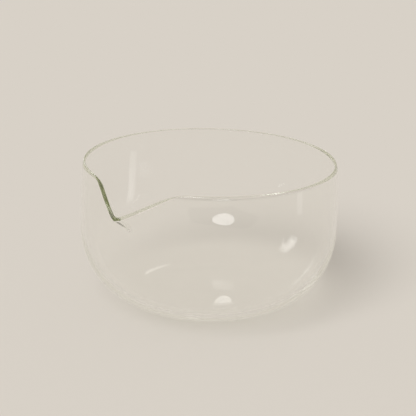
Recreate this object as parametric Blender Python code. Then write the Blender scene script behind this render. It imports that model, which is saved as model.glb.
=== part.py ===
"""Glass tea bowl with a pinched pouring spout, blown as one piece of clear glass.

The bowl stands on z = 0 with its axis on Z, and the spout points along -Y.
"""
import math

import bmesh
import bpy

# Body of revolution, in metres
BOWL_DIAMETER = 0.125       # outside, where the belly is widest
BOWL_HEIGHT = 0.069         # standing face to the top of the rim
BELLY_HEIGHT = 0.037        # standing face to the widest level
RIM_DIAMETER = 0.1213       # outside, at the top edge, drawn in from the belly
FOOT_DIAMETER = 0.050       # flat standing face
BELLY_FULLNESS = 2.2        # exponent of the lower curve: 2 is an ellipse, more is squarer

# Glass, in metres
WALL_THICKNESS = 0.0014     # belly to rim
FOOT_THICKNESS = 0.0022     # where the glass gathers under the bowl
RIM_ROUNDING = 0.00066      # radius of each fire-polished edge of the rim

# Spout, in metres and degrees
SPOUT_REACH = 0.0161        # how far the tip is drawn out past the rim
SPOUT_DIP = 0.0100          # how far the tip is drawn down below the rim
SPOUT_HALF_ANGLE = 22.4     # half the turn from shoulder to shoulder, round the axis
SPOUT_SKEW = 3.25           # how far the tip stands from the middle, towards the +X shoulder
SPOUT_REGION = 60.0         # each side of the tip, past both shoulders
SPOUT_TIP_SOFTNESS = 1.0    # angle over which the two flanks blend at the tip
SPOUT_SHOULDER_SOFTNESS = 2.7   # angle over which a flank blends into the rim
SPOUT_KEEL_DEPTH = 0.0195   # rim to the foot of the keel, along the undrawn wall
SPOUT_SHOULDER_DEPTH = 0.005    # rim to the foot of the fold at a shoulder
SPOUT_KEEL_SOFTNESS = 0.0030    # length over which the keel blends into the wall
SPOUT_REACH_POWER = 1.3     # makes each flank straight in plan
SPOUT_DIP_POWER = 1.35      # makes each flank straight in height

# Mesh fineness
FINE_ANGLE = 8.0            # each side of the tip
FINE_STEPS = 8
FLANK_ANGLE = 26.0          # from there past the shoulder
FLANK_STEPS = 13
ROUND_STEPS = 48            # round the rest of the bowl
BELLY_CURVE_STEPS = 9       # foot to belly
WALL_STEPS = 12             # belly to rim
RIM_SEGMENTS = 2
MERGE_DISTANCE = 0.00001
RIM_EDGE_ANGLE = 60.0       # only the two edges of the rim are sharper than this

# Glass colour: clear, with the faint green of the edges
GLASS_COLOUR = (0.93, 0.96, 0.93, 1.0)
GLASS_ROUGHNESS = 0.02
GLASS_IOR = 1.47


def clear_scene():
    """Remove every object, so the part stands alone."""
    for item in list(bpy.data.objects):
        bpy.data.objects.remove(item, do_unlink=True)


def soft_ramp(value, softness):
    """Zero below zero and value above it, blended over softness."""
    ratio = value / softness
    return softness * (max(ratio, 0.0) + math.log1p(math.exp(-abs(ratio))))


def mid_wall_profile():
    """Radius and height along the middle of the glass, foot centre to rim."""
    foot_radius = FOOT_DIAMETER / 2
    foot_level = FOOT_THICKNESS / 2
    belly_radius = BOWL_DIAMETER / 2 - WALL_THICKNESS / 2
    rim_radius = RIM_DIAMETER / 2 - WALL_THICKNESS / 2
    points = [(0.0, foot_level)]

    power = 2 / BELLY_FULLNESS
    for step in range(BELLY_CURVE_STEPS + 1):
        turn = math.pi / 2 * step / BELLY_CURVE_STEPS
        outward = math.sin(turn) ** power
        upward = 1 - math.cos(turn) ** power if step < BELLY_CURVE_STEPS else 1.0
        radius = foot_radius + (belly_radius - foot_radius) * outward
        points.append((radius, foot_level + (BELLY_HEIGHT - foot_level) * upward))

    for step in range(1, WALL_STEPS + 1):
        share = step / WALL_STEPS
        radius = belly_radius - (belly_radius - rim_radius) * share ** 2
        points.append((radius, BELLY_HEIGHT + (BOWL_HEIGHT - BELLY_HEIGHT) * share))
    return points


def spin_round(shell, profile):
    """Spin the profile round Z, in finer steps near the tip at -Y."""
    half_spout = math.radians(FINE_ANGLE + FLANK_ANGLE)
    start = -math.pi / 2 - half_spout
    last = []
    for radius, height in profile:
        last.append(shell.verts.new((radius * math.cos(start), radius * math.sin(start), height)))
    last += [shell.edges.new(pair) for pair in zip(last, last[1:])]
    arcs = [
        (math.radians(FLANK_ANGLE), FLANK_STEPS),
        (math.radians(2 * FINE_ANGLE), 2 * FINE_STEPS),
        (math.radians(FLANK_ANGLE), FLANK_STEPS),
        (2 * math.pi - 2 * half_spout, ROUND_STEPS),
    ]
    for angle, steps in arcs:
        spun = bmesh.ops.spin(
            shell, geom=last, cent=(0, 0, 0), axis=(0, 0, 1), angle=angle, steps=steps
        )
        last = spun["geom_last"]
    bmesh.ops.remove_doubles(shell, verts=shell.verts[:], dist=MERGE_DISTANCE)
    bmesh.ops.recalc_face_normals(shell, faces=shell.faces[:])


def turn_from_tip(x, y):
    """Turn round the axis from the tip, bent to be SPOUT_HALF_ANGLE at each of the two shoulders."""
    half_angle = math.radians(SPOUT_HALF_ANGLE)
    near = half_angle - math.radians(SPOUT_SKEW)
    far = half_angle + math.radians(SPOUT_SKEW)
    region = math.radians(SPOUT_REGION)
    turn = min(max(math.atan2(x, -y), -region), region)
    rate = near / far + far / near + turn * (1 / near - 1 / far)
    return half_angle * turn * rate / (near + far)


def draw_spout(shell):
    """Draw the wall at -Y out and down into the spout."""
    half_angle = math.radians(SPOUT_HALF_ANGLE)
    tip_softness = math.radians(SPOUT_TIP_SOFTNESS)
    shoulder_softness = math.radians(SPOUT_SHOULDER_SOFTNESS)
    for vert in shell.verts:
        radius = math.hypot(vert.co.x, vert.co.y)
        if radius < MERGE_DISTANCE:
            continue
        from_tip = math.hypot(turn_from_tip(vert.co.x, vert.co.y), tip_softness)
        drawn = soft_ramp(half_angle - from_tip, shoulder_softness) / half_angle
        depth = SPOUT_SHOULDER_DEPTH + (SPOUT_KEEL_DEPTH - SPOUT_SHOULDER_DEPTH) * min(drawn, 1.0)
        above_fold = vert.co.z - (BOWL_HEIGHT - depth)
        share = soft_ramp(above_fold, SPOUT_KEEL_SOFTNESS) / soft_ramp(depth, SPOUT_KEEL_SOFTNESS)
        outward = SPOUT_REACH * drawn ** SPOUT_REACH_POWER * share
        vert.co.x *= (radius + outward) / radius
        vert.co.y *= (radius + outward) / radius
        vert.co.z -= SPOUT_DIP * drawn ** SPOUT_DIP_POWER * share


def glass_share(height):
    """One in the foot, falling smoothly to zero at the belly."""
    rise = min(max((height - FOOT_THICKNESS / 2) / (BELLY_HEIGHT - FOOT_THICKNESS / 2), 0.0), 1.0)
    return 1 - rise * rise * (3 - 2 * rise)


def clear_glass():
    """Clear blown glass with a polished surface."""
    material = bpy.data.materials.new("clear_blown_glass")
    material.use_nodes = True
    shader = material.node_tree.nodes["Principled BSDF"]
    shader.inputs["Base Color"].default_value = GLASS_COLOUR
    shader.inputs["Roughness"].default_value = GLASS_ROUGHNESS
    shader.inputs["Metallic"].default_value = 0.0
    shader.inputs["IOR"].default_value = GLASS_IOR
    shader.inputs["Transmission Weight"].default_value = 1.0
    return material


def glass_bowl():
    """The bowl: the middle of its wall spun and drawn, then given its thickness and rim."""
    shell = bmesh.new()
    spin_round(shell, mid_wall_profile())
    draw_spout(shell)
    mesh = bpy.data.meshes.new("glass_bowl")
    shell.to_mesh(mesh)
    shell.free()
    mesh.shade_smooth()
    mesh.materials.append(clear_glass())
    bowl = bpy.data.objects.new("glass_bowl", mesh)
    bpy.context.scene.collection.objects.link(bowl)

    gathered = bowl.vertex_groups.new(name="gathered_glass")
    for vert in mesh.vertices:
        gathered.add([vert.index], glass_share(vert.co.z), "REPLACE")

    wall = bowl.modifiers.new("wall", "SOLIDIFY")
    wall.thickness = FOOT_THICKNESS
    wall.offset = 0.0
    wall.vertex_group = gathered.name
    wall.thickness_vertex_group = WALL_THICKNESS / FOOT_THICKNESS
    wall.use_even_offset = True
    wall.use_quality_normals = True

    rim = bowl.modifiers.new("fire_polished_rim", "BEVEL")
    rim.width = RIM_ROUNDING
    rim.segments = RIM_SEGMENTS
    rim.limit_method = "ANGLE"
    rim.angle_limit = math.radians(RIM_EDGE_ANGLE)
    return bowl


clear_scene()
glass_bowl()
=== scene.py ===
"""Looks for the spouted glass tea bowl: its blown glass, modelled finely, on a plain pale floor."""
import math

import bpy
import numpy as np
from mathutils import Matrix, Vector


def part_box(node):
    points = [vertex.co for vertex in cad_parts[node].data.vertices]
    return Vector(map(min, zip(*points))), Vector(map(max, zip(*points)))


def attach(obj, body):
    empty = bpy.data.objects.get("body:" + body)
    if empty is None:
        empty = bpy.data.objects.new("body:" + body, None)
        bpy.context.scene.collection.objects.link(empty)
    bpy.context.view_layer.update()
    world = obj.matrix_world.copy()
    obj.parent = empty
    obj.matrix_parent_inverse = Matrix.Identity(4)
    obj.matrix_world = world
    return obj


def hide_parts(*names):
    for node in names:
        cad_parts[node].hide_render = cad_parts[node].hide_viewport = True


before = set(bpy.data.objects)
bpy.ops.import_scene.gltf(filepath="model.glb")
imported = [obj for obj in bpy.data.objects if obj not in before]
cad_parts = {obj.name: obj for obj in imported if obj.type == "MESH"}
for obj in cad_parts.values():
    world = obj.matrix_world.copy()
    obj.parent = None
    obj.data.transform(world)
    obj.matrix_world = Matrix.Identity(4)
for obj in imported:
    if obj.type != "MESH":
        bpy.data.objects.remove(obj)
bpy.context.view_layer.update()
BOWL_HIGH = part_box("glass_bowl")[1]
TOP_ROOM = 0.00003     # keeps the rim just inside the frame's box

bl_info = {
    "name": "Spouted Glass Tea Bowl",
    "version": (1, 0, 0),
    "blender": (4, 5, 0),
    "location": "3D View > Sidebar > Tea Bowl",
    "description": "Blows the glass of a spouted tea bowl and sets it on a pale studio floor",
    "category": "Object",
}


def linear_colour(code):
    """Linear red, green and blue from an sRGB hex colour."""
    channels = [int(code[place:place + 2], 16) / 255 for place in (1, 3, 5)]
    return [c / 12.92 if c <= 0.04045 else ((c + 0.055) / 1.055) ** 2.4 for c in channels]


class TeaBowlSizes(bpy.types.PropertyGroup):
    """Sizes of the glass: its width and height come from the frame."""

    belly_diameter: bpy.props.FloatProperty(
        name="Belly diameter", description="Outside, where the bowl is widest",
        default=2 * BOWL_HIGH[0], unit="LENGTH")
    height: bpy.props.FloatProperty(
        name="Height", description="Standing face to the top of the rim",
        default=BOWL_HIGH[2] - TOP_ROOM, unit="LENGTH")
    belly_height: bpy.props.FloatProperty(
        name="Belly height", description="Standing face to the widest level",
        default=0.037, unit="LENGTH")
    rim_diameter: bpy.props.FloatProperty(
        name="Rim diameter", description="Outside, at the top edge",
        default=0.1213, unit="LENGTH")
    foot_diameter: bpy.props.FloatProperty(
        name="Foot diameter", description="Flat standing face",
        default=0.050, unit="LENGTH")
    belly_fullness: bpy.props.FloatProperty(
        name="Belly fullness", description="Exponent of the lower curve, 2 for an ellipse",
        default=2.2)
    wall: bpy.props.FloatProperty(
        name="Wall", description="Glass from the belly to the rim",
        default=0.0014, unit="LENGTH")
    foot_glass: bpy.props.FloatProperty(
        name="Foot glass", description="Glass gathered under the bowl",
        default=0.0022, unit="LENGTH")
    flank_edge: bpy.props.FloatProperty(
        name="Flank edge", description="Thickness of the spout's pressed edge, as a share of the wall",
        default=1.15)
    lip: bpy.props.FloatProperty(
        name="Lip", description="Height over which the fire-polished edge runs out in a half ellipse",
        default=0.0018, unit="LENGTH")


class TeaBowlSpout(bpy.types.PropertyGroup):
    """How the spout is drawn out of the hot rim."""

    reach: bpy.props.FloatProperty(
        name="Reach", description="How far the tip is drawn out past the rim",
        default=0.0157, unit="LENGTH")
    dip: bpy.props.FloatProperty(
        name="Dip", description="How far the tip is drawn down below the rim",
        default=0.0100, unit="LENGTH")
    half_angle: bpy.props.FloatProperty(
        name="Half angle", description="From the tip to each shoulder, round the axis",
        default=math.radians(22.4), subtype="ANGLE")
    skew: bpy.props.FloatProperty(
        name="Skew", description="How far the tip stands from the middle between the shoulders",
        default=math.radians(3.25), subtype="ANGLE")
    tip_softness: bpy.props.FloatProperty(
        name="Tip softness", description="Angle over which the flanks blend at the tip",
        default=math.radians(1.0), subtype="ANGLE")
    shoulder_softness: bpy.props.FloatProperty(
        name="Shoulder softness", description="Angle over which a flank blends into the rim",
        default=math.radians(2.7), subtype="ANGLE")
    keel_depth: bpy.props.FloatProperty(
        name="Keel depth", description="Rim to the foot of the keel, along the undrawn wall",
        default=0.0195, unit="LENGTH")
    shoulder_depth: bpy.props.FloatProperty(
        name="Shoulder depth", description="Rim to the foot of the fold at a shoulder",
        default=0.005, unit="LENGTH")
    keel_softness: bpy.props.FloatProperty(
        name="Keel softness", description="Length over which the keel blends into the wall",
        default=0.0030, unit="LENGTH")
    reach_power: bpy.props.FloatProperty(
        name="Reach power", description="Makes each flank straight in plan", default=1.3)
    dip_power: bpy.props.FloatProperty(
        name="Dip power", description="Makes each flank straight in height", default=1.35)


class TeaBowlGlass(bpy.types.PropertyGroup):
    """Finish of the glass."""

    colour: bpy.props.FloatVectorProperty(
        name="Colour", description="What a thin wall leaves of the light that goes through it",
        default=linear_colour("#fefefd"), subtype="COLOR", size=3)
    tint: bpy.props.FloatVectorProperty(
        name="Tint", description="Colour that a long way through the glass leaves",
        default=linear_colour("#c6cea4"), subtype="COLOR", size=3)
    tint_density: bpy.props.FloatProperty(
        name="Tint density", description="How strongly the glass takes up light, per metre",
        default=1.4)


class TeaBowlStage(bpy.types.PropertyGroup):
    """Floor, light and camera."""

    floor_colour: bpy.props.FloatVectorProperty(
        name="Floor colour", description="Warm pale paper",
        default=linear_colour("#d8d1c7"), subtype="COLOR", size=3)
    view_azimuth: bpy.props.FloatProperty(
        name="View azimuth", description="Camera's turn from the spout's front",
        default=math.radians(31.2), subtype="ANGLE")
    view_elevation: bpy.props.FloatProperty(
        name="View elevation", description="Camera's height angle",
        default=math.radians(18.97), subtype="ANGLE")
    view_roll: bpy.props.FloatProperty(
        name="View roll", description="Camera's lean",
        default=math.radians(1.23), subtype="ANGLE")
    view_distance: bpy.props.FloatProperty(
        name="View distance", description="Camera to the point that it looks at",
        default=0.4157, unit="LENGTH")
    view_height: bpy.props.FloatProperty(
        name="View height", description="Height of the point that the camera looks at",
        default=0.0435, unit="LENGTH")
    view_aside: bpy.props.FloatProperty(
        name="View aside", description="That point's distance to the right of the axis",
        default=-0.00055, unit="LENGTH")
    view_lens: bpy.props.FloatProperty(
        name="Lens", description="Focal length in millimetres", default=73.28, unit="CAMERA")


# Shape of the glass

FINE_ARC = (math.radians(9.0), 36)     # turn and steps, each side of the tip
FLANK_ARC = (math.radians(24.0), 44)   # from there past the shoulder
ROUND_STEPS = 180      # round the rest of the bowl
FOOT_ROWS = 12
BELLY_ROWS = 48
WALL_ROWS = 50
LIP_ROWS = 12
LIP_END = 0.2          # thickness at the very edge, as a share of the wall, before its own rounding
FLANK_SHARE = 0.25     # share of the spout's draw from which on the edge is the flank's pressed one
SPOUT_REGION = math.radians(60.0)      # each side of the tip, past both shoulders
RIM_ROUNDING = 0.48    # radius of each edge of the rim, as a share of the thickness there
RIM_SEGMENTS = 5
RIM_EDGE_ANGLE = math.radians(60.0)    # only the edges of the rim are sharper than this
START_SIZE = 0.01      # plane that is merged into the profile's first point
MERGE = 1e-6


def wall_profile(sizes):
    """Radius and height along the middle of the glass, foot centre to rim."""
    foot, level = sizes.foot_diameter / 2, sizes.foot_glass / 2
    belly, rim = (sizes.belly_diameter - sizes.wall) / 2, (sizes.rim_diameter - sizes.wall) / 2
    points = [(foot * (row / FOOT_ROWS), level) for row in range(FOOT_ROWS)]
    power = 2 / sizes.belly_fullness
    for row in range(BELLY_ROWS + 1):
        turn = math.pi / 2 * row / BELLY_ROWS
        upward = 1 - math.cos(turn) ** power if row < BELLY_ROWS else 1.0
        points.append((foot + (belly - foot) * math.sin(turn) ** power,
                       level + (sizes.belly_height - level) * upward))
    lip = sizes.height - sizes.lip
    wall_rise = lip - sizes.belly_height
    levels = [sizes.belly_height + wall_rise * row / WALL_ROWS for row in range(1, WALL_ROWS + 1)]
    levels += [lip + sizes.lip * math.sin(math.pi / 2 * row / LIP_ROWS) for row in range(1, LIP_ROWS + 1)]
    for height in levels:
        share = (height - sizes.belly_height) / (sizes.height - sizes.belly_height)
        points.append((belly - (belly - rim) * share ** 2, height))
    return points


def spin_wall(name, profile):
    """Extrude the profile from one point, spin it round the axis and close its seam and pole."""
    bpy.ops.object.select_all(action="DESELECT")
    bpy.ops.mesh.primitive_plane_add(size=START_SIZE, location=(0, 0, profile[0][1]))
    piece = bpy.context.active_object
    piece.name = name
    piece.data.name = name
    bpy.ops.object.transform_apply(location=True, rotation=True, scale=True)
    bpy.ops.object.mode_set(mode="EDIT")
    bpy.ops.mesh.select_all(action="SELECT")
    bpy.ops.mesh.merge(type="CENTER")
    start = -math.pi / 2 - FINE_ARC[0] - FLANK_ARC[0]
    for (radius, height), (next_radius, next_height) in zip(profile, profile[1:]):
        outward = next_radius - radius
        step = (outward * math.cos(start), outward * math.sin(start), next_height - height)
        bpy.ops.mesh.extrude_vertices_move(TRANSFORM_OT_translate={"value": step})
    bpy.ops.mesh.select_all(action="SELECT")
    rest = 2 * math.pi - 2 * (FINE_ARC[0] + FLANK_ARC[0])
    for angle, steps in (FLANK_ARC, (2 * FINE_ARC[0], 2 * FINE_ARC[1]), FLANK_ARC, (rest, ROUND_STEPS)):
        bpy.ops.mesh.spin(steps=steps, angle=angle, center=(0, 0, 0), axis=(0, 0, 1))
    bpy.ops.mesh.select_all(action="SELECT")
    bpy.ops.mesh.remove_doubles(threshold=MERGE)
    bpy.ops.mesh.normals_make_consistent(inside=False)
    bpy.ops.object.mode_set(mode="OBJECT")
    return piece


def soft_ramp(value, softness):
    """Zero below zero and value above it, blended over softness."""
    return softness * np.logaddexp(0.0, value / softness)


def drawn_share(x, y, spout):
    """How far the rim is drawn at a turn round the axis: nearly one at the tip, zero past the shoulders."""
    turn = np.clip(np.arctan2(x, -y), -SPOUT_REGION, SPOUT_REGION)
    near, far = spout.half_angle - spout.skew, spout.half_angle + spout.skew
    bent = spout.half_angle * turn * (near / far + far / near + turn * (1 / near - 1 / far)) / (near + far)
    from_tip = np.hypot(bent, spout.tip_softness)
    return soft_ramp(spout.half_angle - from_tip, spout.shoulder_softness) / spout.half_angle


def draw_spout(piece, sizes, spout):
    """Draw the wall at -Y out and down into the spout, every point by its turn from the tip."""
    place = np.empty(len(piece.data.vertices) * 3)
    piece.data.vertices.foreach_get("co", place)
    place = place.reshape(-1, 3)
    radius = np.maximum(np.hypot(place[:, 0], place[:, 1]), MERGE)
    drawn = drawn_share(place[:, 0], place[:, 1], spout)
    depth = spout.shoulder_depth + (spout.keel_depth - spout.shoulder_depth) * np.minimum(drawn, 1.0)
    above_fold = place[:, 2] - (sizes.height - depth)
    share = soft_ramp(above_fold, spout.keel_softness) / soft_ramp(depth, spout.keel_softness)
    outward = spout.reach * drawn ** spout.reach_power * share
    place[:, 0] *= (radius + outward) / radius
    place[:, 1] *= (radius + outward) / radius
    place[:, 2] -= spout.dip * drawn ** spout.dip_power * share
    piece.data.vertices.foreach_set("co", place.ravel())
    piece.data.update()


def gather_glass(piece, sizes, spout):
    """A vertex group for the glass: thick in the foot, thin from the belly up, and run out at the lip.

    Along the spout the lip isn't run out but pressed to the flank's edge.
    """
    group = piece.vertex_groups.new(name="gathered_glass")
    level, lip = sizes.foot_glass / 2, sizes.height - sizes.lip
    for vertex in piece.data.vertices:
        x, y, height = vertex.co
        rise = min(max((height - level) / (sizes.belly_height - level), 0.0), 1.0)
        gathered = 1 - rise * rise * (3 - 2 * rise)
        thickness = sizes.wall + (sizes.foot_glass - sizes.wall) * gathered
        above_lip = min(max(height - lip, 0.0) / sizes.lip, 1.0)
        pressed = min(drawn_share(x, y, spout) / FLANK_SHARE, 1.0)
        end = LIP_END + (sizes.flank_edge - LIP_END) * pressed
        if end < 1:
            thickness *= end + (1 - end) * math.sqrt(1 - above_lip ** 2)
        else:
            thickness *= 1 + (end - 1) * above_lip
        group.add([vertex.index], thickness / sizes.foot_glass, "REPLACE")
    return group.name


def give_wall(piece, sizes, group):
    """Thicken the middle surface both ways and round the edges of the rim."""
    wall = piece.modifiers.new("wall", "SOLIDIFY")
    wall.thickness = sizes.foot_glass
    wall.offset = 0.0
    wall.vertex_group = group
    wall.thickness_vertex_group = 0.0
    wall.use_even_offset = True
    wall.use_quality_normals = True
    rim = piece.modifiers.new("fire_polish", "BEVEL")
    rim.width = sizes.wall * LIP_END * RIM_ROUNDING
    rim.segments = RIM_SEGMENTS
    rim.limit_method = "ANGLE"
    rim.angle_limit = RIM_EDGE_ANGLE
    bpy.ops.object.select_all(action="DESELECT")
    piece.select_set(True)
    bpy.context.view_layer.objects.active = piece
    bpy.ops.object.modifier_apply(modifier=wall.name)
    bpy.ops.object.modifier_apply(modifier=rim.name)
    piece.vertex_groups.clear()
    bpy.ops.object.shade_smooth()


# Materials

GLASS_IOR = 1.47              # borosilicate
SHADOW_LEVELS = (0.010, 0.030)   # heights between which the bottom turns into the wall
SHADOW_CLEAR = "#f9f9f8"      # what most faces leave of the light that throws the shadow
SHADOW_DARK = "#9a958c"       # what the wall's faces leave of it on its way out of the bowl
BOUNCE_COLOUR = "#fcfcfb"     # what each face leaves of the light that the floor gathers from all round
PAPER_PLAIN_SHARE = 0.6       # share of the floor's plain colour, without shadow, that the glass shows
FELT_COLOUR = "#191919"


def add_node(tree, kind, links=None, **settings):
    """Add a node, with its settings, its input values and the outputs that feed it."""
    node = tree.nodes.new(kind)
    for name, value in settings.items():
        setattr(node, name, value)
    for name, value in (links or {}).items():
        if isinstance(value, bpy.types.NodeSocket):
            tree.links.new(value, node.inputs[name])
        else:
            node.inputs[name].default_value = value
    return node


def opaque(colour):
    """A colour with full alpha."""
    return (*colour, 1.0)


def bare_material(name):
    """A material with no nodes yet."""
    material = bpy.data.materials.new(name)
    material.use_nodes = True
    material.node_tree.nodes.clear()
    return material


def seen_by(tree, *rays):
    """One for the kinds of ray that are named, and zero for the rest."""
    path = add_node(tree, "ShaderNodeLightPath")
    seen = path.outputs[rays[0]]
    for ray in rays[1:]:
        either = add_node(tree, "ShaderNodeMath", {0: seen, 1: path.outputs[ray]}, operation="MAXIMUM")
        seen = either.outputs[0]
    return seen


def shadow_veil(tree):
    """What a face leaves of the light in the shadow: less where it goes out through the wall."""
    place = add_node(tree, "ShaderNodeTexCoord").outputs["Object"]
    normal = add_node(tree, "ShaderNodeNewGeometry").outputs["Normal"]
    height = add_node(tree, "ShaderNodeSeparateXYZ", {"Vector": place})
    wall = add_node(tree, "ShaderNodeMapRange", {
        "Value": height.outputs["Z"], "From Min": SHADOW_LEVELS[0], "From Max": SHADOW_LEVELS[1]})
    side = add_node(tree, "ShaderNodeVectorMath", {0: normal, 1: place}, operation="DOT_PRODUCT")
    outward = add_node(tree, "ShaderNodeMath", {0: side.outputs["Value"], 1: 0.0}, operation="GREATER_THAN")
    leaving = add_node(tree, "ShaderNodeMath", {
        0: wall.outputs["Result"], 1: outward.outputs[0]}, operation="MULTIPLY")
    veil = add_node(tree, "ShaderNodeMix", {
        "Factor": leaving.outputs[0], "A": opaque(linear_colour(SHADOW_CLEAR)),
        "B": opaque(linear_colour(SHADOW_DARK))}, data_type="RGBA")
    return veil.outputs["Result"]


def blown_glass(finish):
    """Blown borosilicate glass with a fire-polished skin.

    Clear enough to all but vanish, faintly warm through both walls, and a soft green at the rim and the
    spout, where the eye looks along the glass. Its skin was melted smooth, so lamps show in it with sharp
    edges.
    """
    material = bare_material("blown_borosilicate_glass")
    tree = material.node_tree
    glass = add_node(tree, "ShaderNodeBsdfPrincipled", {
        "Base Color": opaque(finish.colour), "Roughness": 0.0, "IOR": GLASS_IOR,
        "Transmission Weight": 1.0})
    shade = add_node(tree, "ShaderNodeBsdfTransparent", {"Color": shadow_veil(tree)})
    lit = add_node(tree, "ShaderNodeMixShader", {
        0: seen_by(tree, "Is Shadow Ray"), 1: glass.outputs["BSDF"], 2: shade.outputs["BSDF"]})
    clear = add_node(tree, "ShaderNodeBsdfTransparent", {"Color": opaque(linear_colour(BOUNCE_COLOUR))})
    surface = add_node(tree, "ShaderNodeMixShader", {
        0: seen_by(tree, "Is Diffuse Ray"), 1: lit.outputs["Shader"], 2: clear.outputs["BSDF"]})
    tint = add_node(tree, "ShaderNodeVolumeAbsorption", {
        "Color": opaque(finish.tint), "Density": finish.tint_density})
    add_node(tree, "ShaderNodeOutputMaterial", {
        "Surface": surface.outputs["Shader"], "Volume": tint.outputs["Volume"]})
    return material


def plain_paper(stage):
    """Matt uncoated paper of the floor: even and without gloss. The glass shows less of the shadow on it."""
    material = bare_material("matt_paper")
    tree = material.node_tree
    colour = opaque(stage.floor_colour)
    paper = add_node(tree, "ShaderNodeBsdfDiffuse", {"Color": colour})
    plain = add_node(tree, "ShaderNodeEmission", {"Color": colour, "Strength": 1.0})
    in_glass = seen_by(tree, "Is Glossy Ray", "Is Transmission Ray")
    share = add_node(tree, "ShaderNodeMath", {0: in_glass, 1: PAPER_PLAIN_SHARE}, operation="MULTIPLY")
    surface = add_node(tree, "ShaderNodeMixShader", {
        0: share.outputs[0], 1: paper.outputs[0], 2: plain.outputs[0]})
    add_node(tree, "ShaderNodeOutputMaterial", {"Surface": surface.outputs[0]})
    return material


def black_felt():
    """Pressed black felt: it swallows the light, so the glass mirrors it as a darker field."""
    material = bpy.data.materials.new("black_felt")
    material.use_nodes = True
    felt = material.node_tree.nodes["Principled BSDF"]
    felt.inputs["Base Color"].default_value = opaque(linear_colour(FELT_COLOUR))
    return material


# Stage

FLOOR_SIZE = 12.0
FLOOR_GAP = 0.0002            # keeps the floor's face off the standing face
KEY_SHARE = 0.45              # of the floor's light, the rest comes evenly from all round
KEY_RISE = 47.0               # height angle in degrees
BOWL_MIDDLE = (0, 0, 0.03)
CARD_TURN = -16.5             # degrees to the right of the camera
CARD_DISTANCE = 1.5
CARD_SIDE_ANGLE = math.radians(39.5)   # from the card's middle to each side, seen from the bowl
CARD_TOP_ANGLE = math.radians(58.0)    # from the floor to the card's top
SENSOR_WIDTH = 36.0           # millimetres
NEAREST_SIGHT = 0.01          # start of the camera's clipping
GLASS_BOUNCES = 512           # light runs a long way inside the rim
CLEAR_BOUNCES = 32            # faces that a shadow ray may cross


def studio_world(scene, stage):
    """Even soft light all round, seen as the floor's own colour by eye and glass."""
    world = bpy.data.worlds.new("studio")
    scene.world = world
    world.cycles.sampling_method = "NONE"
    world.use_nodes = True
    tree = world.node_tree
    tree.nodes.clear()
    light = add_node(tree, "ShaderNodeBackground", {
        "Color": opaque(linear_colour("#ffffff")), "Strength": 1 - KEY_SHARE})
    view = add_node(tree, "ShaderNodeBackground", {"Color": opaque(stage.floor_colour), "Strength": 1.0})
    mix = add_node(tree, "ShaderNodeMixShader", {
        0: seen_by(tree, "Is Camera Ray", "Is Glossy Ray", "Is Transmission Ray"),
        1: light.outputs[0], 2: view.outputs[0]})
    add_node(tree, "ShaderNodeOutputWorld", {"Surface": mix.outputs[0]})


def from_view(stage, right, up, distance, lift=0.0):
    """A step from the bowl's foot: degrees to the right of the camera and up, distance, and a lift."""
    turn, rise = stage.view_azimuth + math.radians(right), math.radians(up)
    flat = distance * math.cos(rise)
    return Vector((flat * math.sin(turn), -flat * math.cos(turn), distance * math.sin(rise) + lift))


def add_lamp(name, kind, energy, place, target, **settings):
    """A lamp at a place, turned to shine at a target."""
    data = bpy.data.lights.new(name, kind)
    data.energy = energy
    for key, value in settings.items():
        setattr(data, key, value)
    lamp = bpy.data.objects.new(name, data)
    bpy.context.scene.collection.objects.link(lamp)
    lamp.location = place
    lamp.rotation_euler = (Vector(target) - lamp.location).to_track_quat("-Z", "Y").to_euler()
    return lamp


def add_softbox(name, shape, width, height, glow, place, target=BOWL_MIDDLE, spread=math.pi):
    """A flat lamp that only the glass shows. A spread of less than half a turn is a grid on its front."""
    area = width * height * (math.pi / 4 if shape == "ELLIPSE" else 1.0)
    through_grid = 1 - spread / 2 / math.tan(spread / 2)
    lamp = add_lamp(name, "AREA", glow * math.pi * area * through_grid, place, target,
                    shape=shape, size=width, size_y=height, spread=spread)
    lamp.visible_camera = False
    lamp.visible_diffuse = False
    return lamp


def hang_lamps(stage):
    """The key, which throws the shadow, and the softboxes, which are the highlights in the glass."""
    key = add_lamp("key", "SUN", KEY_SHARE * math.pi / math.sin(math.radians(KEY_RISE)),
                   from_view(stage, right=-32, up=KEY_RISE, distance=2.0), (0, 0, 0),
                   angle=math.radians(42))
    key.visible_glossy = False
    key.visible_transmission = False

    # Large oval
    lamp = add_softbox("lamp", "ELLIPSE", width=0.5, height=0.6, glow=6.0,
                       place=from_view(stage, right=-18.5, up=44, distance=1.4))
    lamp.visible_transmission = False

    # Slanted patch on the right wall
    patch = from_view(stage, right=126, up=0, distance=0.0535, lift=0.0138)
    window = add_softbox("window", "RECTANGLE", width=0.056, height=0.0215, glow=2.5,
                         place=patch + from_view(stage, right=-112.4, up=32.8, distance=0.16), target=patch)
    window.rotation_euler.rotate_axis("Z", math.radians(-60))

    # Upright streak on the right wall
    level = 0.048
    strip = add_softbox("strip", "RECTANGLE", width=0.016, height=0.036, glow=0.8,
                        place=from_view(stage, right=69, up=0, distance=0.17, lift=level),
                        target=(0, 0, level))
    strip.visible_transmission = False

    # Spot in the bottom
    add_softbox("back_lamp", "ELLIPSE", width=0.054, height=0.15, glow=1.1,
                place=from_view(stage, right=177.9, up=30.6, distance=1.4))

    # Tall streak on the back wall, from a gridded lamp, so that few other views see the lamp itself
    spot = from_view(stage, right=118.8, up=0, distance=0.064, lift=0.009)
    add_softbox("streak", "RECTANGLE", width=0.011, height=0.018, glow=1.3, place=spot,
                target=spot + from_view(stage, right=262.5, up=17, distance=1.0), spread=math.radians(20))


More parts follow.
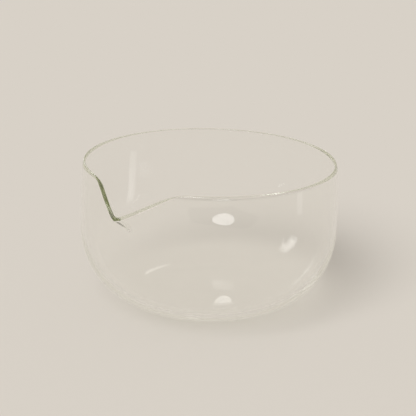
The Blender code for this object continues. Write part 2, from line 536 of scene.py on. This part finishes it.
def add_plane(name, width, height, place, turn=(0, 0, 0)):
    """A flat rectangle with its place in its mesh."""
    bpy.ops.object.select_all(action="DESELECT")
    bpy.ops.mesh.primitive_plane_add(size=1.0)
    plane = bpy.context.active_object
    plane.name = name
    plane.scale = (width, height, 1.0)
    plane.rotation_euler = turn
    plane.location = place
    bpy.ops.object.transform_apply(location=True, rotation=True, scale=True)
    return plane


def hang_card(stage):
    """A dark card in front of the bowl that only reflections see, for the darker field round the oval."""
    height = CARD_DISTANCE * math.tan(CARD_TOP_ANGLE)
    card = add_plane("dark_card", 2 * CARD_DISTANCE * math.tan(CARD_SIDE_ANGLE), height,
                     from_view(stage, CARD_TURN, 0, CARD_DISTANCE, lift=height / 2),
                     (math.pi / 2, 0, stage.view_azimuth + math.radians(CARD_TURN)))
    card.data.materials.append(black_felt())
    card.visible_camera = False
    card.visible_diffuse = False
    card.visible_transmission = False
    card.visible_shadow = False


def set_camera(scene, stage):
    """The camera, turned round the bowl, tipped down and leaned as in the photograph."""
    camera = bpy.data.objects.new("camera", bpy.data.cameras.new("camera"))
    scene.collection.objects.link(camera)
    camera.data.sensor_width = SENSOR_WIDTH
    camera.data.lens = stage.view_lens
    camera.data.clip_start = NEAREST_SIGHT
    turn = Matrix.Rotation(stage.view_azimuth, 4, "Z")
    looks_at = Matrix.Translation((stage.view_aside, 0, stage.view_height))
    pitch = Matrix.Rotation(math.pi / 2 - stage.view_elevation, 4, "X")
    stands_off = Matrix.Translation((0, 0, stage.view_distance))
    roll = Matrix.Rotation(stage.view_roll, 4, "Z")
    camera.matrix_world = turn @ looks_at @ pitch @ stands_off @ roll
    scene.camera = camera


# Operators

class TEABOWL_OT_blow_glass(bpy.types.Operator):
    """Model the bowl in glass, in place of its plain solid"""

    bl_idname = "teabowl.blow_glass"
    bl_label = "Blow Glass Bowl"
    bl_options = {"REGISTER", "UNDO"}

    def execute(self, context):
        scene = context.scene
        sizes, spout = scene.tea_bowl_sizes, scene.tea_bowl_spout
        bowl = spin_wall("blown_bowl", wall_profile(sizes))
        glass = gather_glass(bowl, sizes, spout)
        draw_spout(bowl, sizes, spout)
        give_wall(bowl, sizes, glass)
        bowl.data.materials.append(blown_glass(scene.tea_bowl_glass))
        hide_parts("glass_bowl")
        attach(bowl, "root")
        return {"FINISHED"}


class TEABOWL_OT_set_stage(bpy.types.Operator):
    """Lay the floor, light it and set the camera at the photograph's angle"""

    bl_idname = "teabowl.set_stage"
    bl_label = "Set Stage"
    bl_options = {"REGISTER", "UNDO"}

    def execute(self, context):
        scene = context.scene
        stage = scene.tea_bowl_stage
        floor = add_plane("floor", FLOOR_SIZE, FLOOR_SIZE, (0, 0, -FLOOR_GAP))
        floor.data.materials.append(plain_paper(stage))
        studio_world(scene, stage)
        hang_lamps(stage)
        hang_card(stage)
        set_camera(scene, stage)
        scene.view_settings.view_transform = "Standard"
        scene.cycles.max_bounces = GLASS_BOUNCES
        scene.cycles.glossy_bounces = GLASS_BOUNCES
        scene.cycles.transmission_bounces = GLASS_BOUNCES
        scene.cycles.transparent_max_bounces = CLEAR_BOUNCES
        return {"FINISHED"}


class TEABOWL_PT_panel(bpy.types.Panel):
    """Sidebar panel that lists the bowl's sizes and operators"""

    bl_idname = "TEABOWL_PT_panel"
    bl_label = "Tea Bowl"
    bl_space_type = "VIEW_3D"
    bl_region_type = "UI"
    bl_category = "Tea Bowl"

    def draw(self, context):
        for holder in GROUPS:
            group = getattr(context.scene, holder)
            box = self.layout.box()
            for name in group.__annotations__:
                box.prop(group, name)
        for operator in OPERATORS:
            self.layout.operator(operator.bl_idname)


GROUPS = {
    "tea_bowl_sizes": TeaBowlSizes,
    "tea_bowl_spout": TeaBowlSpout,
    "tea_bowl_glass": TeaBowlGlass,
    "tea_bowl_stage": TeaBowlStage,
}
OPERATORS = (TEABOWL_OT_blow_glass, TEABOWL_OT_set_stage)


def register():
    """Register the classes and hang the properties on the scene."""
    for name, group in GROUPS.items():
        bpy.utils.register_class(group)
        setattr(bpy.types.Scene, name, bpy.props.PointerProperty(type=group))
    for item in (*OPERATORS, TEABOWL_PT_panel):
        bpy.utils.register_class(item)


def unregister():
    """Take the classes and properties away again."""
    for item in (TEABOWL_PT_panel, *OPERATORS):
        bpy.utils.unregister_class(item)
    for name, group in GROUPS.items():
        delattr(bpy.types.Scene, name)
        bpy.utils.unregister_class(group)


def main():
    """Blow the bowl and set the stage."""
    register()
    bpy.ops.teabowl.blow_glass()
    bpy.ops.teabowl.set_stage()


if __name__ == "__main__":
    main()
